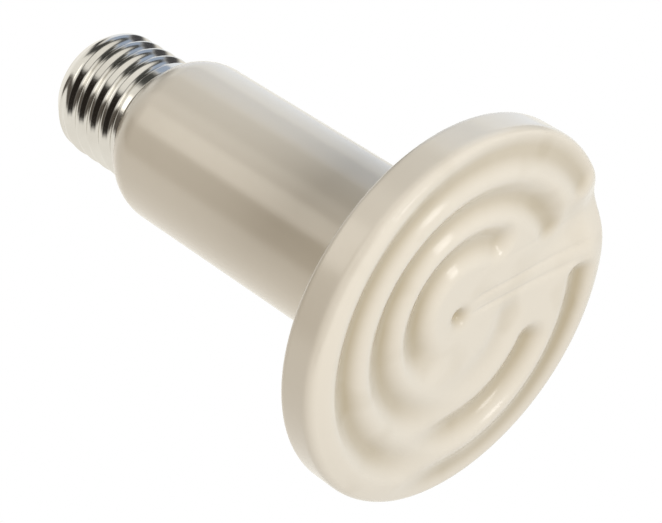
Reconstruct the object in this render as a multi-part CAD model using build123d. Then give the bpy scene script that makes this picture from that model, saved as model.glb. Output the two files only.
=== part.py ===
from build123d import *
import math
import os

# Ceramic heat emitter: a flat heating disc on a hollow neck, with a screw cap.
# Sizes are in millimetres. The axis is Z, the ridge tops of the disc's face lie at Z = 0,
# and the cap points up.

# Disc and neck, one casting
disc_r = 37.5
rim_height = 9.0          # ridge tops to the back edge of the rim
face_edge_r = 33.6        # where the face begins to fall to the rim
face_edge_round = 9.0
edge_fall = 1.5           # fall of the face's edge at the rim
rim_round = 2.2           # outer edge of the face
back_round = 1.5          # back edge of the rim
back_rise = 1.4           # rise of the disc's back from the rim to the neck
cove = 6.0                # hollow corner between the disc's back and the neck
neck_r = 17.0
neck_top = 84.3           # where the shoulder ends and the spigot begins
shoulder = 9.4            # rounding of the neck's end
bore_r = 13.3             # inside of the neck
floor_z = 8.5             # bottom of the neck's bore
floor_round = 3.0
spigot_r = 11.2           # spigot that the cap is cemented to
spigot_height = 9.0
throat_r = 7.5            # bore through the shoulder and the spigot
throat_length = 6.0       # straight part of that bore below the spigot
throat_round = 3.0

# Face relief: two sets of arc grooves, half a ridge apart, leave one winding ridge
ridge_pitch = 8.9
first_groove_r = 12.8
groove_half = 3.8         # half width of a groove
groove_depth = 2.4
floor_share = 0.3         # part of the groove's section that is its round floor
crest_step = 0.05         # a groove's side leaves the ridge top at a slight angle
side_share = 0.8          # part of the side's rounding that is kept, up to that slight angle
cutter_over = 1.5         # cutters reach this far outside the piece
centre_x = 1.0            # the sets' centres stand this far off the disc's axis
run_out = 10.0            # length over which a groove's shallow end rises to the face
run_out_over = 6          # further angle, for the sides of the run-out to rise as well
left_grooves = [(90, 281), (86, 316), (88, 308)]    # start and end angles, inner groove first
right_grooves = [(6, 86), (6, 86), (-24, 88)]

# Valley that runs out over the rim, and the dimple in the middle of the face
valley_angle = -43.0
valley_start = 12.0
valley_depth = 1.8
valley_half = 6.5
dimple_half = 2.2
dimple_depth = 2.4

# Screw shell, with a rolled thread of seven turns to the inch
thread_pitch = 25.4 / 7
crest_r = 13.15
root_r = 12.13
shell_wall = 0.3
crest_over = 0.04         # the rolled groove's section reaches this far past the crest
crest_turn = 0.1          # angle, in radians, where the section's crest arc is cut off
band_edge = 0.12          # the rolled wall's section ends this far under the crest
thread_start = 150.0      # angle about the axis where the rolled groove begins
skirt = 2.6               # skirt edge to the middle of the first rolled groove
shell_length = 20.9
end_height = 3.6          # height of the shell's narrowing end
end_r = 10.6              # radius where the end turns flat
end_bend = 4.0            # rounding from the crest into the narrowing end
end_round = 1.2           # rounding of the flat end
flange_r = 8.4            # hole in the closed end
seat_gap = 0.05           # skirt's inner edge above the shoulder

# Insulator and centre contact
insulator_under = 2.0     # thickness held under the shell's end
insulator_grip = 0.5      # how far it reaches under the end
insulator_rise = 2.4      # height of its cone above the end
insulator_top_r = 5.4
insulator_round = 0.5
contact_r = 5.0
contact_plate = 0.6
contact_dome = 0.8
contact_flat_r = 2.5
fit_gap = 0.03            # between pieces that are cemented or pressed together

# Leads
lead_r = 0.5
lead_hole_gap = 0.1
lead_spread = 3.0         # each lead stands this far from the axis inside the neck
lead_turn_over = 0.7      # the leads leave their straight run this far above the spigot
lead_cross_under = 2.0    # and reach their ends' lines this far below the insulator
lead_bend = 4.0

# Heights that follow
shoulder_centre_r = neck_r - shoulder
shoulder_centre_z = neck_top - math.sqrt(shoulder**2 - (spigot_r - shoulder_centre_r) ** 2)
spigot_top = neck_top + spigot_height
skirt_inner_r = crest_r - shell_wall
skirt_z = shoulder_centre_z + math.sqrt(shoulder**2 - (skirt_inner_r - shoulder_centre_r) ** 2) + seat_gap
shell_top = skirt_z + shell_length
shell_under = shell_top - shell_wall
thread_length = shell_length - end_height - skirt - thread_pitch / 2
insulator_top = shell_top + insulator_rise
contact_top = insulator_top + contact_plate + contact_dome
lead_turn_z = spigot_top + lead_turn_over
lead_cross_z = shell_under - insulator_under - lead_cross_under


def revolved(sketch, turn=360):
    return revolve(sketch, Axis.Z, turn)


def rounded(sketch, r, z, radius):
    """The sketch with its corner at r, z rounded."""
    corner = [v for v in sketch.vertices() if abs(v.X - r) < 1e-4 and abs(v.Z - z) < 1e-4]
    return fillet(corner, radius)


def outline(points, arc_middle=None):
    """A closed outline in the plane of radius and height, closed by a line or by an arc."""
    with BuildSketch(Plane.XZ) as sketch:
        with BuildLine():
            Polyline(*points)
            if arc_middle:
                ThreePointArc(points[-1], arc_middle, points[0])
            else:
                Line(points[-1], points[0])
        make_face()
    return sketch.sketch


def half_groove(half, depth):
    """Half of a groove's section: a round floor that turns into a rounded side."""
    turn = 2 * math.atan((depth + crest_step) / half)
    floor_radius = floor_share * half / math.sin(turn)
    side_radius = half / math.sin(turn) - floor_radius
    last = side_share * math.acos(1 - crest_step / side_radius)

    def floor_point(angle):
        return floor_radius * math.sin(angle), depth - floor_radius * (1 - math.cos(angle))

    def side_point(angle):
        return half - side_radius * math.sin(angle), side_radius * (1 - math.cos(angle)) - crest_step

    bottom = floor_point(0)
    join = floor_point(turn)
    top = side_point(last)
    with BuildSketch(Plane.XZ) as sketch:
        with BuildLine():
            ThreePointArc(bottom, floor_point(turn / 2), join)
            ThreePointArc(join, side_point((turn + last) / 2), top)
            Polyline(top, (top[0], -cutter_over), (0, -cutter_over), bottom)
        make_face()
    return sketch.sketch


def groove_cutters(centre_y, radius, start, end, shallow_start):
    """A groove along an arc, with one round end and one that runs out to the face."""
    half = half_groove(groove_half, groove_depth)
    full = half + mirror(half, Plane.YZ)
    centre = Pos(centre_x, centre_y, 0)
    wheel = (run_out**2 + groove_depth**2) / (2 * groove_depth)
    rise = math.degrees(math.acos(1 - groove_depth / wheel)) + run_out_over
    if shallow_start:
        round_end, shallow_end, back, side = end, start, 0, 1
    else:
        round_end, shallow_end, back, side = start, end, 180, -1
    channel = centre * Rot(0, 0, start) * revolved(Pos(radius, 0, 0) * full, end - start)
    bowl = centre * Rot(0, 0, round_end) * Pos(radius, 0, 0) * Rot(0, 0, back) * revolved(half, 180)
    wheel_axis = Axis((0, 0, groove_depth - wheel), (side, 0, 0))
    tail = centre * Rot(0, 0, shallow_end) * Pos(radius, 0, 0) * revolve(full, wheel_axis, rise)
    return [channel, bowl, tail]


def valley_cutter():
    """A shallow channel, deeper towards the rim."""
    half = half_groove(valley_half, valley_depth)
    full = half + mirror(half, Plane.YZ)
    length = disc_r + 2 * cutter_over - valley_start
    slope = math.degrees(math.atan(valley_depth / (disc_r - valley_start)))
    channel = extrude(full, amount=length, dir=(0, -1, 0))
    lowered = Rot(-slope, 0, 0) * Pos(0, 0, -valley_depth) * channel
    return Rot(0, 0, valley_angle + 90) * Pos(0, -valley_start, 0) * lowered


def ceramic_body():
    slope = bore_r - throat_r
    shoulder_end = math.atan2(neck_top - shoulder_centre_z, spigot_r - shoulder_centre_r)
    section = outline(
        [
            (spigot_r, neck_top),
            (spigot_r, spigot_top),
            (throat_r, spigot_top),
            (throat_r, neck_top - throat_length),
            (bore_r, neck_top - throat_length - slope),
            (bore_r, floor_z),
            (0, floor_z),
            (0, 0),
            (face_edge_r, 0),
            (disc_r, edge_fall),
            (disc_r, rim_height),
            (neck_r, rim_height + back_rise),
            (neck_r, shoulder_centre_z),
        ],
        (
            shoulder_centre_r + shoulder * math.cos(shoulder_end / 2),
            shoulder_centre_z + shoulder * math.sin(shoulder_end / 2),
        ),
    )
    section = rounded(section, face_edge_r, 0, face_edge_round)
    section = rounded(section, disc_r, edge_fall, rim_round)
    section = rounded(section, disc_r, rim_height, back_round)
    section = rounded(section, neck_r, rim_height + back_rise, cove)
    section = rounded(section, throat_r, neck_top - throat_length, throat_round)
    section = rounded(section, bore_r, neck_top - throat_length - slope, throat_round)
    section = rounded(section, bore_r, floor_z, floor_round)
    body = revolved(section)
    cutters = []
    for k, (start, end) in enumerate(left_grooves):
        cutters += groove_cutters(-ridge_pitch / 4, first_groove_r + k * ridge_pitch, start, end, True)
    for k, (start, end) in enumerate(right_grooves):
        cutters += groove_cutters(ridge_pitch / 4, first_groove_r + k * ridge_pitch, start, end, False)
    cutters.append(valley_cutter())
    cutters.append(revolved(half_groove(dimple_half, dimple_depth)))
    for cutter in cutters:
        body -= cutter
    return body


def rolled_groove(offset, outside):
    """Upper half of the rolled groove's section: the root arc and the crest arc, moved in by offset."""
    half = thread_pitch / 2
    depth = crest_r + crest_over - root_r
    turn = 2 * math.atan(depth / half)
    radius = half / (2 * math.sin(turn))

    def root_point(angle):
        return (
            root_r + radius - (radius + offset) * math.cos(angle),
            (radius + offset) * math.sin(angle),
        )

    def crest_point(angle):
        return (
            crest_r + crest_over - radius + (radius - offset) * math.cos(angle),
            half - (radius - offset) * math.sin(angle),
        )

    bottom = root_point(0)
    join = root_point(turn)
    top = crest_point(crest_turn)
    with BuildSketch(Plane.XZ) as sketch:
        with BuildLine():
            ThreePointArc(bottom, root_point(turn / 2), join)
            ThreePointArc(join, crest_point((turn + crest_turn) / 2), top)
            Polyline(top, (outside, top[1]), (outside, 0), bottom)
        make_face()
    return sketch.sketch


def rolled_thread(offset, outside):
    """The groove along its helix, with a round end at each end of it."""
    half = rolled_groove(offset, outside)
    full = half + mirror(half, Plane.XY)
    bowl = revolve(half, Axis.X, 360)
    last_angle = 360 * thread_length / thread_pitch
    channel = sweep(full, path=Helix(thread_pitch, thread_length, crest_r), is_frenet=True)
    thread = channel + bowl + Pos(0, 0, thread_length) * Rot(0, 0, last_angle) * bowl
    return Pos(0, 0, skirt_z + skirt) * Rot(0, 0, thread_start) * thread


def screw_shell():
    lean = math.atan2(crest_r - end_r, end_height)
    inner_end_r = end_r - shell_wall * math.tan(math.pi / 4 - lean / 2)
    bend_z = shell_top - end_height
    inner_bend_z = bend_z - shell_wall * math.tan(lean / 2)
    section = outline(
        [
            (crest_r, skirt_z),
            (crest_r, bend_z),
            (end_r, shell_top),
            (flange_r, shell_top),
            (flange_r, shell_under),
            (inner_end_r, shell_under),
            (skirt_inner_r, inner_bend_z),
            (skirt_inner_r, skirt_z),
        ]
    )
    section = rounded(section, crest_r, bend_z, end_bend)
    section = rounded(section, skirt_inner_r, inner_bend_z, end_bend - shell_wall)
    section = rounded(section, end_r, shell_top, end_round)
    section = rounded(section, inner_end_r, shell_under, end_round - shell_wall)
    root = rolled_thread(0, crest_r + cutter_over)
    band = rolled_thread(shell_wall, crest_r - band_edge)
    return (revolved(section) - root) + (band - root)


def cap_insulator():
    under_r = flange_r + insulator_grip
    body = outline(
        [
            (0, shell_under - insulator_under),
            (under_r, shell_under - insulator_under),
            (under_r, shell_under - fit_gap),
            (flange_r - fit_gap, shell_under - fit_gap),
            (flange_r - fit_gap, shell_top + fit_gap),
            (insulator_top_r, insulator_top),
            (0, insulator_top),
        ]
    )
    body = rounded(body, insulator_top_r, insulator_top, insulator_round)
    hole = Cylinder(lead_r + lead_hole_gap, 2 * (insulator_top - shell_under + insulator_under))
    return revolved(body) - Pos(0, 0, shell_under) * hole


def centre_contact():
    plate_top = insulator_top + contact_plate
    return revolved(
        outline(
            [
                (0, insulator_top),
                (contact_r, insulator_top),
                (contact_r, plate_top),
                (contact_flat_r + contact_dome, plate_top),
                (contact_flat_r, contact_top),
                (0, contact_top),
            ]
        )
    )


def cap_cement():
    outer_r = root_r - shell_wall - fit_gap
    return revolved(
        outline(
            [
                (spigot_r, neck_top + fit_gap),
                (outer_r, neck_top + fit_gap),
                (outer_r, spigot_top),
                (spigot_r, spigot_top),
            ]
        )
    )


def lead(points):
    """A wire through the points, with its corners rounded."""
    path = FilletPolyline(*points, radius=lead_bend)
    start = points[0]
    return sweep(Pos(*start) * Circle(lead_r), path=path)


def contact_lead():
    return lead(
        [
            (lead_spread, 0, floor_z),
            (lead_spread, 0, lead_turn_z),
            (0, 0, lead_cross_z),
            (0, 0, insulator_top),
        ]
    )


def shell_lead():
    lead_end_r = flange_r + insulator_grip + lead_r + lead_hole_gap
    return lead(
        [
            (-lead_spread, 0, floor_z),
            (-lead_spread, 0, lead_turn_z),
            (-lead_end_r, 0, lead_cross_z),
            (-lead_end_r, 0, shell_under),
        ]
    )


nodes = {
    "ceramic_body": ceramic_body,
    "screw_shell": screw_shell,
    "cap_insulator": cap_insulator,
    "centre_contact": centre_contact,
    "cap_cement": cap_cement,
    "contact_lead": contact_lead,
    "shell_lead": shell_lead,
}

os.makedirs("parts", exist_ok=True)
for name, make in nodes.items():
    export_step(make(), f"parts/{name}.step")
    print(name)
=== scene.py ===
import math

import bpy
import numpy as np
from mathutils import Matrix, Vector


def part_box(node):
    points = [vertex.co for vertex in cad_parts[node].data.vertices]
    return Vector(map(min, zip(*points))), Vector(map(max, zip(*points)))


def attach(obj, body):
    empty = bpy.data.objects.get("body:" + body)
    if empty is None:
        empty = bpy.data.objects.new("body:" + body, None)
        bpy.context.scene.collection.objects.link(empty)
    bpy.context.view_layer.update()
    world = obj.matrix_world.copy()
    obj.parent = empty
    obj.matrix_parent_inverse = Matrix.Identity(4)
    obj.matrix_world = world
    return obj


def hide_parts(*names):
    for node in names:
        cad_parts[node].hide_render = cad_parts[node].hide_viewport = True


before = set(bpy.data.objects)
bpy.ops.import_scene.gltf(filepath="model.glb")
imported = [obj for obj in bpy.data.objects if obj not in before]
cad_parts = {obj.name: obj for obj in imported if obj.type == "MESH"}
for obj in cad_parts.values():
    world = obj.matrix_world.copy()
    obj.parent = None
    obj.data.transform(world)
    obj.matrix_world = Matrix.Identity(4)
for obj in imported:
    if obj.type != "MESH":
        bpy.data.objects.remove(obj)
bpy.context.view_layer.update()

mm = 0.001
mergeDistance = 0.0008 * mm
smoothAngle = math.radians(40)


def deselectAll():
    if bpy.context.object and bpy.context.object.mode != "OBJECT":
        bpy.ops.object.mode_set(mode="OBJECT")
    bpy.ops.object.select_all(action="DESELECT")


def arcPoints(centre, radius, start, end, steps):
    # points of an arc in the plane of radius and height, both ends included
    angles = [math.radians(start + (end - start) * k / steps) for k in range(steps + 1)]
    return [(centre[0] + radius * math.cos(a), centre[1] + radius * math.sin(a)) for a in angles]


def roundedLine(corners, steps=8):
    # a line through corners given as radius, height and rounding, with the roundings drawn as arcs
    line = []
    for k, corner in enumerate(corners):
        here, rounding = Vector(corner[:2]), corner[2]
        if not rounding:
            line.append(tuple(here))
            continue
        back = (Vector(corners[k - 1][:2]) - here).normalized()
        ahead = (Vector(corners[k + 1][:2]) - here).normalized()
        half = back.angle(ahead) / 2
        centre = here + (back + ahead).normalized() * rounding / math.sin(half)
        first = here + back * rounding / math.tan(half) - centre
        last = here + ahead * rounding / math.tan(half) - centre
        start = math.degrees(math.atan2(first.y, first.x))
        turn = (math.degrees(math.atan2(last.y, last.x)) - start + 180) % 360 - 180
        line += arcPoints(centre, rounding, start, start + turn, steps)
    return line


def spreadPoints(line, spacing):
    # the same line with its long straight runs cut into shorter ones
    spread = [line[0]]
    for here, there in zip(line, line[1:]):
        count = max(1, round(math.dist(here, there) / spacing))
        for k in range(1, count + 1):
            spread.append(tuple(a + (b - a) * k / count for a, b in zip(here, there)))
    return spread


def turnedShape(name, profile, segments):
    # a profile line drawn point by point and spun about the axis
    deselectAll()
    bpy.ops.mesh.primitive_plane_add(size=1 * mm, location=(profile[0][0] * mm, 0, profile[0][1] * mm))
    piece = bpy.context.object
    piece.name = name
    bpy.ops.object.transform_apply(location=True, rotation=False, scale=False)
    bpy.ops.object.mode_set(mode="EDIT")
    bpy.ops.mesh.select_all(action="SELECT")
    bpy.ops.mesh.merge(type="CENTER")
    for here, there in zip(profile, profile[1:]):
        step = ((there[0] - here[0]) * mm, 0, (there[1] - here[1]) * mm)
        bpy.ops.mesh.extrude_vertices_move(TRANSFORM_OT_translate={"value": step})
    bpy.ops.mesh.select_all(action="SELECT")
    bpy.ops.mesh.spin(steps=segments, angle=2 * math.pi, center=(0, 0, 0), axis=(0, 0, 1))
    bpy.ops.mesh.select_all(action="SELECT")
    bpy.ops.mesh.remove_doubles(threshold=mergeDistance)
    bpy.ops.mesh.normals_make_consistent(inside=False)
    bpy.ops.object.mode_set(mode="OBJECT")
    bpy.ops.object.shade_smooth_by_angle(angle=smoothAngle)
    return piece


def meshPoints(piece):
    points = np.empty(len(piece.data.vertices) * 3)
    piece.data.vertices.foreach_get("co", points)
    return points.reshape(-1, 3) / mm


def movePoints(piece, points):
    piece.data.vertices.foreach_set("co", (points * mm).ravel())
    piece.data.update()


def addMeasure(piece, name, values):
    # a number for each point of the mesh, which a material can read
    measure = piece.data.attributes.new(name, "FLOAT", "POINT")
    measure.data.foreach_set("value", values.astype(np.float32))


def finishPiece(piece, material, slot, *nodes):
    piece.data.materials.clear()
    piece.data.materials.append(material)
    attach(piece, "root")
    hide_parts(*nodes)


def eased(t):
    t = np.clip(t, 0, 1)
    return t * t * (3 - 2 * t)


def newMaterial(name):
    material = bpy.data.materials.new(name)
    material.use_nodes = True
    tree = material.node_tree
    shader = next(n for n in tree.nodes if n.type == "BSDF_PRINCIPLED")
    return material, tree, shader


def fillSocket(tree, socket, value):
    # a socket takes another node's output or a plain value
    if isinstance(value, bpy.types.NodeSocket):
        tree.links.new(value, socket)
    else:
        socket.default_value = value


def addNode(tree, kind, **inputs):
    made = tree.nodes.new(kind)
    for key, value in inputs.items():
        fillSocket(tree, made.inputs[key], value)
    return made


def addMath(tree, operation, *values, clamp=False):
    made = tree.nodes.new("ShaderNodeMath")
    made.operation = operation
    made.use_clamp = clamp
    for socket, value in zip(made.inputs, values):
        fillSocket(tree, socket, value)
    return made.outputs[0]


def addChain(tree, operation, values):
    # all the values multiplied, or the largest of them
    result = values[0]
    for value in values[1:]:
        result = addMath(tree, operation, result, value)
    return result


def addMix(tree, share, first, second):
    mix = tree.nodes.new("ShaderNodeMix")
    mix.data_type = "RGBA"
    for key, value in (("Factor", share), ("A", first), ("B", second)):
        fillSocket(tree, mix.inputs[key], value)
    return mix.outputs["Result"]


def addNoise(tree, place, scale, detail, roughness=0.5):
    # a scale of 1000 divided by a size in mm gives spots of about that size
    noise = addNode(tree, "ShaderNodeTexNoise", Vector=place, Scale=scale, Detail=detail,
                    Roughness=roughness)
    return noise.outputs["Fac"]


def addBump(tree, height, depth):
    bump = addNode(tree, "ShaderNodeBump", Strength=1.0, Distance=depth * mm, Height=height)
    return bump.outputs["Normal"]


def addMeasureNode(tree, name):
    measure = tree.nodes.new("ShaderNodeAttribute")
    measure.attribute_name = name
    measure.attribute_type = "GEOMETRY"
    return measure.outputs["Fac"]


# The glaze: glossy cream, and browner in the grooves, partly where glaze pools and partly painted shade in
# the hollows. Sizes in mm.

creamGlaze = {
    "cream": (0.800, 0.742, 0.640, 1),
    # the tan of glaze pools, which also serves as painted shade in the grooves
    "poolAndShade": (0.480, 0.405, 0.275, 1),
    "mottling": 0.05,
    "mottlingSize": 4.0,
    "roughness": 0.20,
    "coat": 0.6,
    "coatRoughness": 0.11,
    "ripple": 0.02,
    "rippleSize": 5.0,
    "patchFrom": 0.58,
    "patchTo": 0.72,
    "patchShare": 0.12,
    "patchSize": 9.0,
}


def makeGlaze(look):
    material, tree, shader = newMaterial("creamGlaze")
    place = tree.nodes.new("ShaderNodeTexCoord").outputs["Object"]
    mottle = addNoise(tree, place, 1000 / look["mottlingSize"], detail=4.0, roughness=0.6)
    mottle = addMath(tree, "MULTIPLY_ADD", mottle, 2 * look["mottling"], -look["mottling"])
    # share of the tan: glaze pools with painted shade in the grooves, plus mottling
    shadeAndBrown = addMath(tree, "ADD", addMeasureNode(tree, "glazePoolAndShade"), mottle, clamp=True)
    # thin patches here and there on the face, where the body's tan shows through
    patch = addNode(tree, "ShaderNodeMapRange", **{
        "Value": addNoise(tree, place, 1000 / look["patchSize"], detail=1.0),
        "From Min": look["patchFrom"], "From Max": look["patchTo"], "To Max": look["patchShare"],
    })
    onFace = addMeasureNode(tree, "onFace")
    shadeAndBrown = addMath(tree, "MULTIPLY_ADD", patch.outputs["Result"], onFace, shadeAndBrown, clamp=True)
    fillSocket(tree, shader.inputs["Base Color"], addMix(tree, shadeAndBrown, look["cream"], look["poolAndShade"]))
    ripple = addNoise(tree, place, 1000 / look["rippleSize"], detail=2.0)
    ripple = addBump(tree, ripple, look["ripple"])
    fillSocket(tree, shader.inputs["Normal"], ripple)
    fillSocket(tree, shader.inputs["Coat Normal"], ripple)
    shader.inputs["Roughness"].default_value = look["roughness"]
    shader.inputs["Coat Weight"].default_value = look["coat"]
    shader.inputs["Coat Roughness"].default_value = look["coatRoughness"]
    return material


# Bright nickel plate, with the fine lines of the drawn sheet along the axis

nickelPlate = {
    "bright": (0.80, 0.79, 0.76, 1),
    "dull": (0.66, 0.64, 0.60, 1),
    "stainScale": 140.0,
    "roughness": (0.08, 0.20),
    "lineScale": 3.0,
    "lineCount": 900.0,
    "lineStretch": 60.0,
    "lineDepth": 0.004,
}


def makePlate(look):
    material, tree, shader = newMaterial("nickelPlate")
    place = tree.nodes.new("ShaderNodeTexCoord").outputs["Object"]
    stretched = addNode(tree, "ShaderNodeMapping", Vector=place,
                        Scale=(look["lineCount"], look["lineCount"], look["lineStretch"]))
    lines = addNoise(tree, stretched.outputs["Vector"], look["lineScale"], detail=3.0, roughness=0.6)
    stain = addNoise(tree, place, look["stainScale"], detail=3.0)
    fillSocket(tree, shader.inputs["Base Color"], addMix(tree, stain, look["bright"], look["dull"]))
    smooth, rough = look["roughness"]
    worn = addNode(tree, "ShaderNodeMapRange", **{"Value": lines, "To Min": smooth, "To Max": rough})
    fillSocket(tree, shader.inputs["Roughness"], worn.outputs["Result"])
    fillSocket(tree, shader.inputs["Normal"], addBump(tree, lines, look["lineDepth"]))
    shader.inputs["Metallic"].default_value = 1.0
    return material


# Small finishes: a mottled colour, a roughness and a fine grain each

plainFinishes = {
    "blackGlass": {"light": (0.022, 0.022, 0.026, 1), "dark": (0.010, 0.010, 0.012, 1),
                   "roughness": 0.12, "metallic": 0.0, "grain": 0.01, "grainSize": 1.5},
    "tinnedContact": {"light": (0.62, 0.60, 0.55, 1), "dark": (0.46, 0.43, 0.37, 1),
                      "roughness": 0.30, "metallic": 1.0, "grain": 0.02, "grainSize": 0.8},
    "capCement": {"light": (0.62, 0.57, 0.48, 1), "dark": (0.45, 0.41, 0.34, 1),
                  "roughness": 0.85, "metallic": 0.0, "grain": 0.08, "grainSize": 0.5},
    "leadWire": {"light": (0.55, 0.55, 0.53, 1), "dark": (0.42, 0.41, 0.39, 1),
                 "roughness": 0.35, "metallic": 1.0, "grain": 0.01, "grainSize": 0.3},
}


def makePlain(name, look):
    material, tree, shader = newMaterial(name)
    place = tree.nodes.new("ShaderNodeTexCoord").outputs["Object"]
    grain = addNoise(tree, place, 1000 / look["grainSize"], detail=4.0)
    fillSocket(tree, shader.inputs["Base Color"], addMix(tree, grain, look["dark"], look["light"]))
    fillSocket(tree, shader.inputs["Normal"], addBump(tree, grain, look["grain"]))
    shader.inputs["Roughness"].default_value = look["roughness"]
    shader.inputs["Metallic"].default_value = look["metallic"]
    return material


glaze = makeGlaze(creamGlaze)
plate = makePlate(nickelPlate)
plain = {name: makePlain(name, look) for name, look in plainFinishes.items()}
print("materials made")


# Ceramic body: turned as one shape, then the face is pressed with its relief. Sizes in mm and degrees.

bodySizes = {
    "faceRadius": 33.6,
    "faceRound": 9.0,
    "edgeFall": 1.5,
    "rimRound": 2.2,
    "rimHeight": 9.0,
    "backRound": 1.5,
    "backRise": 1.4,
    "cove": 6.0,
    "neckRadius": 17.0,
    "neckTop": 84.3,
    "shoulder": 9.4,
    "spigotRadius": 11.2,
    "throatRadius": 7.5,
    "throatLength": 6.0,
    "boreRadius": 13.3,
    "boreFloor": 8.5,
    "floorRound": 2.0,
    "ringSpacing": 0.5,
    "neckSpacing": 8.0,
    "segments": 360,
}

# Arc grooves: radius, start and end angle about their side's centre, share of the full depth,
# and the length over which the groove fades out at its start and at its end
reliefSizes = {
    "leftCentre": (1.0, -2.225),
    "rightCentre": (1.0, 2.225),
    "left": [
        {"radius": 12.8, "start": 91, "end": 275, "share": 1.0, "startFade": 12, "endFade": 0},
        {"radius": 21.7, "start": 66, "end": 311, "share": 1.0, "startFade": 22, "endFade": 0},
        {"radius": 31.0, "start": 71, "end": 304, "share": 1.0, "startFade": 26, "endFade": 0},
    ],
    "right": [
        {"radius": 12.8, "start": -12, "end": 112, "share": 0.42, "startFade": 0, "endFade": 26},
        {"radius": 21.7, "start": 6, "end": 100, "share": 1.0, "startFade": 0, "endFade": 16},
        {"radius": 30.6, "start": -22, "end": 97, "share": 1.0, "startFade": 0, "endFade": 16},
    ],
    "depth": 1.75,
    "reach": 4.6,
    "floorSoft": 0.4,
    "floorShift": 0.2,
    "fadeLead": 2,
    "wrapBefore": 60,
    # the share of tan in the grooves, for glaze pools and painted shade: the groove shape at which it is
    # full, and its power
    "poolShadeFull": 0.97,
    "poolShadePower": 1.9,
    # painted shade: the grooves' tan is stronger toward this angle and its opposite, by this share
    "paintedShadeSide": 176,
    "paintedShadeUneven": 0.22,
    "dish": 2.3,
    "dishRadius": 32.5,
    "valleyAngle": -41,
    "valleyStart": 12,
    "valleyRise": 24,
    "valleyDepth": 2.3,
    "valleyHalf": 5.6,
    "dimpleDepth": 1.4,
    "dimpleHalf": 1.7,
    "rimFall": 7.5,
}

# Shallow creases along the spoke from the middle to the rim, each with its place across it and its depth
spokeSizes = {
    "angle": -26,
    "offset": -0.9,
    "creases": [(1.5, 0.24), (-1.5, 0.24), (-7.5, 0.05)],
    "half": 0.6,
    "start": 2,
    "end": 34,
    "fade": 4,
}


def bodyProfile(size, rimRadius, spigotTop):
    neck, spigot = size["neckRadius"], size["spigotRadius"]
    throat, bore = size["throatRadius"], size["boreRadius"]
    centre = neck - size["shoulder"]
    shoulderEnd = math.acos((spigot - centre) / size["shoulder"])
    centreHeight = size["neckTop"] - size["shoulder"] * math.sin(shoulderEnd)
    shoulder = arcPoints((centre, centreHeight), size["shoulder"], 0, math.degrees(shoulderEnd), steps=16)
    throatLow = size["neckTop"] - size["throatLength"]
    disc = roundedLine([
        (0, 0, 0),
        (size["faceRadius"], 0, size["faceRound"]),
        (rimRadius, size["edgeFall"], size["rimRound"]),
        (rimRadius, size["rimHeight"], size["backRound"]),
        (neck, size["rimHeight"] + size["backRise"], size["cove"]),
        (neck, centreHeight, 0),
    ])
    # the throat opens into the bore at 45 degrees
    inside = roundedLine([
        (spigot, spigotTop, 0),
        (throat, spigotTop, 0),
        (throat, throatLow, 0),
        (bore, throatLow - bore + throat, 0),
        (bore, size["boreFloor"], size["floorRound"]),
        (0, size["boreFloor"], 0),
    ], steps=2)
    rimTop = next(k for k, point in enumerate(disc) if point[1] > size["rimHeight"])
    outside = spreadPoints(disc[:rimTop], size["ringSpacing"])
    return outside + spreadPoints(disc[rimTop - 1:], size["neckSpacing"])[1:] + shoulder[1:] + inside


def alongAndAcross(x, y, angle):
    # the distance along a line through the middle at this angle, and the distance to its side
    turn = math.radians(angle)
    return x * math.cos(turn) + y * math.sin(turn), y * math.cos(turn) - x * math.sin(turn)


def bell(t):
    return np.exp(-(t ** 2))


def grooveShape(x, y, centre, groove, size):
    # 1 along the groove's middle line, falling to 0 at the ridge tops and, where it fades, at its ends
    dx, dy = x - centre[0], y - centre[1]
    span = groove["end"] - groove["start"]
    wrap = size["wrapBefore"]
    turned = (np.degrees(np.arctan2(dy, dx)) - groove["start"] + wrap) % 360 - wrap
    along = np.clip(turned, 0, span)
    angle = np.radians(groove["start"] + along)
    radius = groove["radius"]
    away = np.hypot(dx - radius * np.cos(angle), dy - radius * np.sin(angle))
    away = np.hypot(away, size["floorSoft"]) - size["floorShift"]
    shape = groove["share"] * (1 + np.cos(math.pi * np.clip(away / size["reach"], 0, 1))) / 2
    perDegree = math.radians(radius)
    for toEnd, fade in ((along, groove["startFade"]), (span - along, groove["endFade"])):
        if fade:
            shape = shape * eased((toEnd * perDegree + size["fadeLead"]) / fade)
    return shape


def spokeDepth(x, y, size):
    along, across = alongAndAcross(x, y, size["angle"])
    across = across - size["offset"]
    reach = eased((along - size["start"]) / size["fade"]) * eased((size["end"] - along) / size["fade"])
    return reach * sum(depth * bell((across - place) / size["half"]) for place, depth in size["creases"])


def pressedDepth(x, y, size):
    # how far each point of the face lies above the plane it stands on, and how much of the tan goes there,
    # where glaze pools and as painted shade in the hollows;
    # forms that cross are joined by the cube root of their summed cubes, which keeps the deeper one
    grooves = np.zeros_like(x)
    for side in ("left", "right"):
        for groove in size[side]:
            grooves += grooveShape(x, y, size[side + "Centre"], groove, size) ** 3
    middle = np.hypot(x, y)
    dimple = bell(middle / size["dimpleHalf"])
    grooves += (dimple * size["dimpleDepth"] / size["depth"]) ** 3
    along, across = alongAndAcross(x, y, size["valleyAngle"])
    valley = eased((along - size["valleyStart"]) / size["valleyRise"]) * bell(across / size["valleyHalf"])
    total = size["depth"] * np.cbrt(grooves + (valley * size["valleyDepth"] / size["depth"]) ** 3)
    dish = size["dish"] * (1 - np.clip(middle / size["dishRadius"], 0, 1) ** 2)
    # painted shade: the grooves are made darker on two opposite sides than between them
    around = np.cos(2 * (np.arctan2(y, x) - math.radians(size["paintedShadeSide"])))
    sideShade = 1 - size["paintedShadeUneven"] + size["paintedShadeUneven"] * around
    poolAndShade = sideShade * np.clip(np.cbrt(grooves) / size["poolShadeFull"], 0, 1) ** size["poolShadePower"]
    return total + dish + spokeDepth(x, y, spokeSizes), np.maximum(poolAndShade, dimple)


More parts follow.
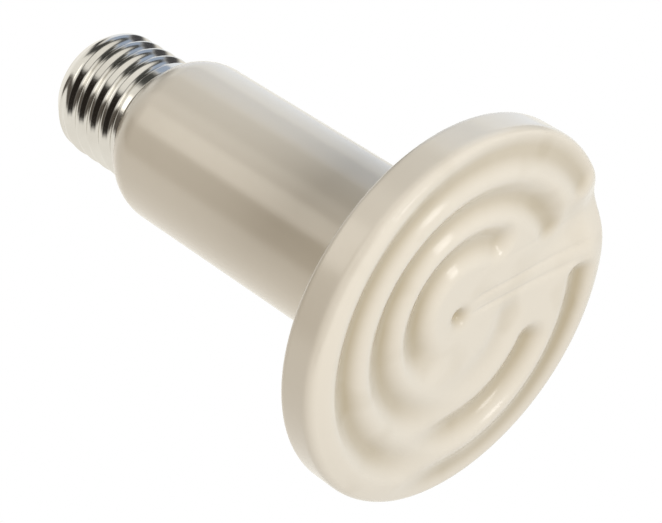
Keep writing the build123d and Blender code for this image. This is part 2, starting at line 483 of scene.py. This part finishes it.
def makeBody():
    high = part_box("ceramic_body")[1] / mm
    body = turnedShape("ceramicBody", bodyProfile(bodySizes, high.x, high.z), bodySizes["segments"])
    points = meshPoints(body)
    depth, poolAndShade = pressedDepth(points[:, 0], points[:, 1], reliefSizes)
    onFace = 1 - eased(points[:, 2] / reliefSizes["rimFall"])
    points[:, 2] += depth * onFace
    movePoints(body, points)
    # the share of tan for glaze pools and painted shade in the hollows, read by the glaze
    addMeasure(body, "glazePoolAndShade", poolAndShade * onFace)
    addMeasure(body, "onFace", onFace)
    finishPiece(body, glaze, "glaze", "ceramic_body")


makeBody()
print("ceramic body made")


# Screw shell: a turned sheet, with the thread rolled in. Sizes in mm and degrees.

shellSizes = {
    "pitch": 25.4 / 7,
    "crest": 13.15,
    "root": 12.13,
    "wall": 0.3,
    "endHeight": 3.6,
    "endRadius": 10.6,
    "endBend": 4.0,
    "endRound": 1.2,
    "flange": 8.4,
    "firstRoot": 2.6,
    "startAngle": 150,
    "runOut": (60, 300),
    "insideTaper": (1.2, 2.0),
    "plainEdge": 0.2,
    "skin": 0.01,
    "ringSpacing": 0.13,
    "segments": 288,
}


def shellProfile(size, bottom, top):
    crest, wall = size["crest"], size["wall"]
    inner = size["root"] - wall
    lip = arcPoints((crest - wall / 2, bottom + wall / 2), wall / 2, 0, -180, steps=6)
    outside = roundedLine([
        (size["flange"], top - wall, 0),
        (size["flange"], top, 0),
        (size["endRadius"], top, size["endRound"]),
        (crest, top - size["endHeight"], size["endBend"]),
        (*lip[0], 0),
    ], steps=14)
    taperStart, taperEnd = size["insideTaper"]
    inside = [
        (crest - wall, bottom + taperStart),
        (inner, bottom + taperEnd),
        (inner, top - size["endHeight"]),
        (size["endRadius"] - wall, top - wall),
        (size["flange"], top - wall),
    ]
    return spreadPoints(outside, size["ringSpacing"]) + lip[1:] + inside


def makeShell():
    low, high = (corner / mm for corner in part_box("screw_shell"))
    size = shellSizes
    shell = turnedShape("screwShell", shellProfile(size, low.z, high.z), size["segments"])
    points = meshPoints(shell)
    radius = np.hypot(points[:, 0], points[:, 1])
    turns = np.arctan2(points[:, 1], points[:, 0]) / (2 * math.pi) - size["startAngle"] / 360
    # position in turns along the helix of the nearest root, counted from the thread's start
    height = (points[:, 2] - low.z - size["firstRoot"]) / size["pitch"]
    nearest = np.round(height - turns) + turns
    across = (height - nearest) * 2
    length = high.z - low.z - size["endHeight"] - size["firstRoot"] - size["pitch"] / 2
    last = length / size["pitch"]
    fade = 1.0
    for past, runOut in zip((nearest, last - nearest), size["runOut"]):
        fade = fade * eased((past * 360 + runOut) / runOut)
    rolled = (1 + np.cos(math.pi * np.clip(across, -1, 1))) / 2
    # only the outer side of the sheet is rolled, and not its plain edge
    outer = (radius > size["root"] - size["skin"]) & (points[:, 2] > low.z + size["plainEdge"])
    target = size["crest"] - (size["crest"] - size["root"]) * rolled * fade
    share = np.where(outer, np.minimum(target / radius, 1), 1)
    points[:, 0] *= share
    points[:, 1] *= share
    movePoints(shell, points)
    finishPiece(shell, plate, "plated_shell", "screw_shell")


makeShell()
print("screw shell made")


# Insulator: a cone of glass in the cap's end. Sizes in mm.

insulatorSizes = {
    "topRadius": 5.4,
    "topRound": 0.6,
    "roundInset": 0.36,
    "flangeGap": 0.05,
    "seatGap": 0.03,
    "coneSpacing": 0.6,
    "segments": 96,
}


def makeInsulator():
    low, high = (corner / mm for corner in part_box("cap_insulator"))
    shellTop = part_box("screw_shell")[1].z / mm
    size = insulatorSizes
    coneFoot = shellSizes["flange"] - size["flangeGap"]
    coneAngle = math.degrees(math.atan2(high.z - shellTop, coneFoot - size["topRadius"]))
    topRound = arcPoints(
        (size["topRadius"] - size["roundInset"], high.z - size["topRound"]),
        size["topRound"], 90 - coneAngle, 90, steps=6,
    )
    seat = shellTop - shellSizes["wall"] - size["seatGap"]
    profile = [(0, low.z), (high.x, low.z), (high.x, seat), (coneFoot, seat)]
    profile += spreadPoints([(coneFoot, shellTop), topRound[0]], size["coneSpacing"])
    profile += topRound[1:] + [(0, high.z)]
    piece = turnedShape("capInsulator", profile, size["segments"])
    finishPiece(piece, plain["blackGlass"], "black_glass", "cap_insulator")


# Centre contact: a thin plate pressed up in the middle. Sizes in mm and degrees.

contactSizes = {
    "plate": 0.6,
    "plateRound": 0.15,
    "footRadius": 3.3,
    "footStep": (0.3, 0.1),
    "crownRadius": 2.3,
    "crownRound": 0.4,
    "crownStart": 30,
    "segments": 96,
}


def makeContact():
    low, high = (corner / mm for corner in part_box("centre_contact"))
    size = contactSizes
    plateTop = low.z + size["plate"]
    edge, bend, foot = size["plateRound"], size["crownRound"], size["footRadius"]
    stepOut, stepUp = size["footStep"]
    rim = arcPoints((high.x - edge, plateTop - edge), edge, 0, 90, steps=4)
    crown = arcPoints((size["crownRadius"], high.z - bend), bend, size["crownStart"], 90, steps=5)
    profile = [(0, low.z), (high.x, low.z)] + rim
    profile += [(foot + stepOut, plateTop), (foot, plateTop + stepUp)] + crown + [(0, high.z)]
    piece = turnedShape("centreContact", profile, size["segments"])
    finishPiece(piece, plain["tinnedContact"], "contact_metal", "centre_contact")


makeInsulator()
makeContact()
print("cap's end made")


# The pieces that stay as they are take their finish here

plainNodes = {"cap_cement": "capCement", "contact_lead": "leadWire", "shell_lead": "leadWire"}

for nodeName, finish in plainNodes.items():
    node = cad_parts[nodeName]
    node.data.materials.clear()
    node.data.materials.append(plain[finish])
print("cement and leads finished")


# Studio: white world, floor that only the camera sees and only from above, lamps. Sizes in mm.

# The soft light all round is warm on one side and cool on the other
studio = {
    "ambient": 0.28,
    "warmSide": (-0.95, 0.30, 0.05),
    "warm": (1.06, 0.93, 0.76),
    "cool": (0.95, 1.02, 1.10),
    "floorSize": 3000,
    "floorColour": (0.90, 0.90, 0.90, 1),
    "floorRoughness": 0.9,
    "floorDrop": 0.05,
    "aimHeight": 50,
}

# Light from the white table beside the neck: a cone in this direction
tableGlow = {
    "azimuth": 97,
    "elevation": 14,
    "halfAngle": 45,
    "soft": 14,
    "colour": (1.12, 1.08, 1.02, 1),
}

# What the gloss mirrors: a cream table all round, and over it these parts of the room,
# each with its range of azimuth and of elevation, softness and colour
roomBase = (0.98, 0.95, 0.88, 1)
roomParts = {
    "nearWall": {"azimuth": (144, 184), "elevation": (-20, 72), "soft": 8,
                 "colour": (0.11, 0.095, 0.08, 1)},
    "behindCamera": {"azimuth": (134, 213), "elevation": (-62, -18), "soft": 6,
                     "colour": (0.02, 0.016, 0.013, 1)},
    "sideLight": {"azimuth": (186, 214), "elevation": (31, 43), "soft": 5,
                  "colour": (2.5, 2.4, 2.2, 1)},
    "darkRoom": {"azimuth": (238, 276), "elevation": (-14, 66), "soft": 8,
                 "colour": (0.07, 0.07, 0.065, 1)},
    "window": {"azimuth": (279, 308), "elevation": (-18, 52), "soft": 4,
               "colour": (0.40, 0.48, 0.62, 1)},
    "farWall": {"azimuth": (308, 332), "elevation": (-34, 22), "soft": 5,
                "colour": (0.08, 0.08, 0.085, 1)},
    "daylight": {"azimuth": (310, 352), "elevation": (22, 58), "soft": 4,
                 "colour": (0.96, 1.0, 1.06, 1)},
    "lintel": {"azimuth": (265, 345), "elevation": (60, 70), "soft": 4,
               "colour": (0.05, 0.05, 0.05, 1)},
    "tableEdge": {"azimuth": (205, 306), "elevation": (-20, -12), "soft": 3,
                  "colour": (0.05, 0.05, 0.045, 1)},
}

# Each lamp: direction from the object, distance, width and height, level at the object,
# and whether the gloss mirrors it
lamps = {
    "keyLamp": {"toward": (-0.287, -0.41, -0.866), "distance": 800, "size": (320, 320),
                "level": 0.67, "colour": (1.0, 0.995, 0.985), "mirrored": False},
    "glintLamp": {"toward": (0.20, -0.20, -0.96), "distance": 800, "size": (140, 140),
                  "level": 0.026, "colour": (1.0, 0.985, 0.965), "mirrored": True},
    "ceilingLamp": {"toward": (0.30, -0.80, 0.50), "distance": 900, "size": (450, 450),
                    "level": 0.32, "colour": (0.84, 0.94, 1.08), "mirrored": False},
    "sideLamp": {"toward": (-0.762, -0.292, 0.578), "distance": 800, "size": (310, 420),
                 "level": 0.09, "colour": (1.0, 0.90, 0.74), "mirrored": False},
}


def dimmed(colour, level):
    return [level * part for part in colour] + [1]


def direction(azimuth, elevation):
    a, e = math.radians(azimuth), math.radians(elevation)
    return Vector((math.cos(a) * math.cos(e), math.sin(a) * math.cos(e), math.sin(e)))


def facing(tree, looking, toward):
    # 1 where the direction looked in is this one, -1 where it is the opposite one
    dot = tree.nodes.new("ShaderNodeVectorMath")
    dot.operation = "DOT_PRODUCT"
    fillSocket(tree, dot.inputs[0], looking)
    fillSocket(tree, dot.inputs[1], toward)
    return dot.outputs["Value"]


def softStep(tree, value, start, end, first=0.0, last=1.0):
    step = addNode(tree, "ShaderNodeMapRange", **{
        "Value": value, "From Min": start, "From Max": end, "To Min": first, "To Max": last,
    })
    step.interpolation_type = "SMOOTHSTEP"
    return step.outputs["Result"]


def coneShare(tree, looking, cone):
    # 1 inside the cone, 0 outside it
    toward = direction(cone["azimuth"], cone["elevation"])
    outer, inner = (math.cos(math.radians(cone["halfAngle"] + side * cone["soft"])) for side in (1, -1))
    return softStep(tree, facing(tree, looking, toward), outer, inner)


def lookAngles(tree, looking):
    # azimuth from 0 to 360 and elevation of the direction looked in, in degrees
    split = tree.nodes.new("ShaderNodeSeparateXYZ")
    fillSocket(tree, split.inputs[0], looking)
    backX, backY = (addMath(tree, "MULTIPLY", split.outputs[k], -1.0) for k in (0, 1))
    turn = addMath(tree, "DEGREES", addMath(tree, "ARCTAN2", backY, backX))
    elevation = addMath(tree, "DEGREES", addMath(tree, "ARCSINE", split.outputs[2]))
    return {"azimuth": addMath(tree, "ADD", turn, 180.0), "elevation": elevation}


def partShare(tree, angles, part):
    # 1 inside the part of the room, 0 outside it
    soft = part["soft"]
    shares = []
    for key, value in angles.items():
        low, high = part[key]
        shares.append(softStep(tree, value, low - soft, low + soft))
        shares.append(softStep(tree, value, high - soft, high + soft, 1.0, 0.0))
    return addChain(tree, "MULTIPLY", shares)


def makeWorld():
    world = bpy.data.worlds.new("studioWorld")
    bpy.context.scene.world = world
    world.use_nodes = True
    tree = world.node_tree
    tree.nodes.clear()
    rays = tree.nodes.new("ShaderNodeLightPath").outputs
    looking = tree.nodes.new("ShaderNodeTexCoord").outputs["Generated"]
    angles = lookAngles(tree, looking)
    room = roomBase
    for part in roomParts.values():
        room = addMix(tree, partShare(tree, angles, part), room, part["colour"])
    seen = addMix(tree, rays["Is Camera Ray"], room, (1, 1, 1, 1))
    warmth = addNode(tree, "ShaderNodeMapRange", **{
        "Value": facing(tree, looking, studio["warmSide"]), "From Min": -1.0, "From Max": 1.0,
    })
    cool, warm = (dimmed(studio[key], studio["ambient"]) for key in ("cool", "warm"))
    soft = addMix(tree, warmth.outputs["Result"], cool, warm)
    soft = addMix(tree, coneShare(tree, looking, tableGlow), soft, tableGlow["colour"])
    sharpRays = [rays[key] for key in ("Is Camera Ray", "Is Glossy Ray", "Is Transmission Ray")]
    background = tree.nodes.new("ShaderNodeBackground")
    sharp = addChain(tree, "MAXIMUM", sharpRays)
    fillSocket(tree, background.inputs["Color"], addMix(tree, sharp, soft, seen))
    addNode(tree, "ShaderNodeOutputWorld", Surface=background.outputs[0])


def makeFloor():
    deselectAll()
    bpy.ops.mesh.primitive_circle_add(
        vertices=96, radius=studio["floorSize"] * mm, fill_type="NGON",
        location=(0, 0, -studio["floorDrop"] * mm),
    )
    floor = bpy.context.object
    floor.name = "studioFloor"
    material, tree, shader = newMaterial("floorWhite")
    shader.inputs["Base Color"].default_value = studio["floorColour"]
    shader.inputs["Roughness"].default_value = studio["floorRoughness"]
    # clear from below, and for every ray but the camera's
    below = tree.nodes.new("ShaderNodeNewGeometry").outputs["Backfacing"]
    cameraRay = tree.nodes.new("ShaderNodeLightPath").outputs["Is Camera Ray"]
    hidden = addChain(tree, "MAXIMUM", [below, addMath(tree, "SUBTRACT", 1.0, cameraRay)])
    clear = tree.nodes.new("ShaderNodeBsdfTransparent")
    mix = tree.nodes.new("ShaderNodeMixShader")
    for socket, value in zip(mix.inputs, (hidden, shader.outputs[0], clear.outputs[0])):
        tree.links.new(value, socket)
    out = next(n for n in tree.nodes if n.type == "OUTPUT_MATERIAL")
    tree.links.new(mix.outputs[0], out.inputs["Surface"])
    floor.data.materials.append(material)
    floor.visible_shadow = False


def makeLamps():
    aim = Vector((0, 0, studio["aimHeight"]))
    for name, lamp in lamps.items():
        light = bpy.data.lights.new(name, "AREA")
        light.shape = "ELLIPSE"
        light.size, light.size_y = (side * mm for side in lamp["size"])
        # a lamp of this power gives a white surface that faces it the stated level
        light.energy = lamp["level"] * (math.pi * lamp["distance"] * mm) ** 2
        light.color = lamp["colour"]
        holder = bpy.data.objects.new(name, light)
        bpy.context.scene.collection.objects.link(holder)
        toward = Vector(lamp["toward"]).normalized()
        holder.visible_glossy = lamp["mirrored"]
        holder.location = (aim + toward * lamp["distance"]) * mm
        holder.rotation_euler = (-toward).to_track_quat("-Z", "Y").to_euler()


# Camera: place and lens in mm, and the directions it looks in and holds up

camera = {
    "place": (-338.41, -123.71, -222.90),
    "forward": (0.76285, 0.28881, 0.57849),
    "up": (0, -0.89469, 0.44668),
    "lens": 130.15,
    "sensor": 36,
    "sees": (10, 20000),
}


def makeCamera():
    data = bpy.data.cameras.new("camera")
    data.lens = camera["lens"]
    data.sensor_width = camera["sensor"]
    data.clip_start, data.clip_end = (reach * mm for reach in camera["sees"])
    holder = bpy.data.objects.new("camera", data)
    bpy.context.scene.collection.objects.link(holder)
    forward = Vector(camera["forward"]).normalized()
    right = forward.cross(Vector(camera["up"])).normalized()
    up = right.cross(forward)
    turn = Matrix((right, up, -forward)).transposed()
    holder.matrix_world = Matrix.Translation(Vector(camera["place"]) * mm) @ turn.to_4x4()
    bpy.context.scene.camera = holder


makeWorld()
makeFloor()
makeLamps()
makeCamera()
bpy.context.scene.view_settings.view_transform = "Standard"
print("studio made")
